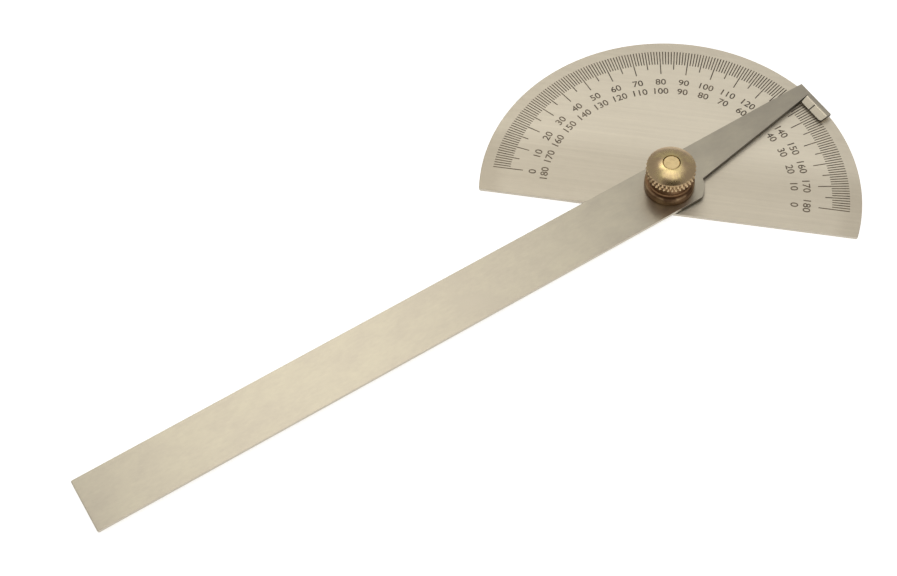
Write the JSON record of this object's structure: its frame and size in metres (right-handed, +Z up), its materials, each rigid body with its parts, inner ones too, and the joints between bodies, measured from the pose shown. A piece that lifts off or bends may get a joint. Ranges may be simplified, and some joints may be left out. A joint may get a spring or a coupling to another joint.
{
  "type": "swing-arm protractor",
  "caption": "Half-round steel protractor head with an etched degree scale, a long swinging blade with a pointer and index foot, and a brass thumb nut that clamps the blade at the pivot.",
  "frame": {"origin": "on the pivot axis, at the back of the half-round head, where the flush rear face of the clamp screw is", "axes": "+Z up out of the graduated face, along the pivot axis; +X along the scale's base line towards 180; +Y towards 90"},
  "size_m": [0.1619, 0.1529, 0.0112],
  "materials": {
    "head_steel": "satin stainless, brushed along the base edge",
    "blade_steel": "satin stainless, brushed along the blade",
    "washer_steel": "plain stamped",
    "nut_brass": "turned and knurled, lightly tarnished",
    "screw_brass": "faced off, fine scratches"
  },
  "bodies": {
    "head": {"protractor_plate": "head_steel", "friction_washer": "washer_steel"},
    "blade": {"blade_arm": "blade_steel"},
    "nut": {"thumb_nut": "nut_brass"},
    "screw": {"clamp_screw": "screw_brass"}
  },
  "joints": [
    {"name": "blade_swing", "type": "hinge", "parent": "head", "child": "blade", "pos_m": [0, 0, 0.0017], "axis": [0, 0, 1], "continuous": true},
    {"name": "nut_turn", "type": "hinge", "parent": "head", "child": "nut", "pos_m": [0, 0, 0.00215], "axis": [0, 0, 1], "range_deg": [0, 360]},
    {"name": "screw_draw", "type": "slide", "parent": "head", "child": "screw", "axis": [0, 0, -1], "range_m": [0, 0.0007]}
  ],
  "couplings": [
    {"joint": "nut_turn", "follows": "screw_draw", "rad_per_m": 8976}
  ]
}
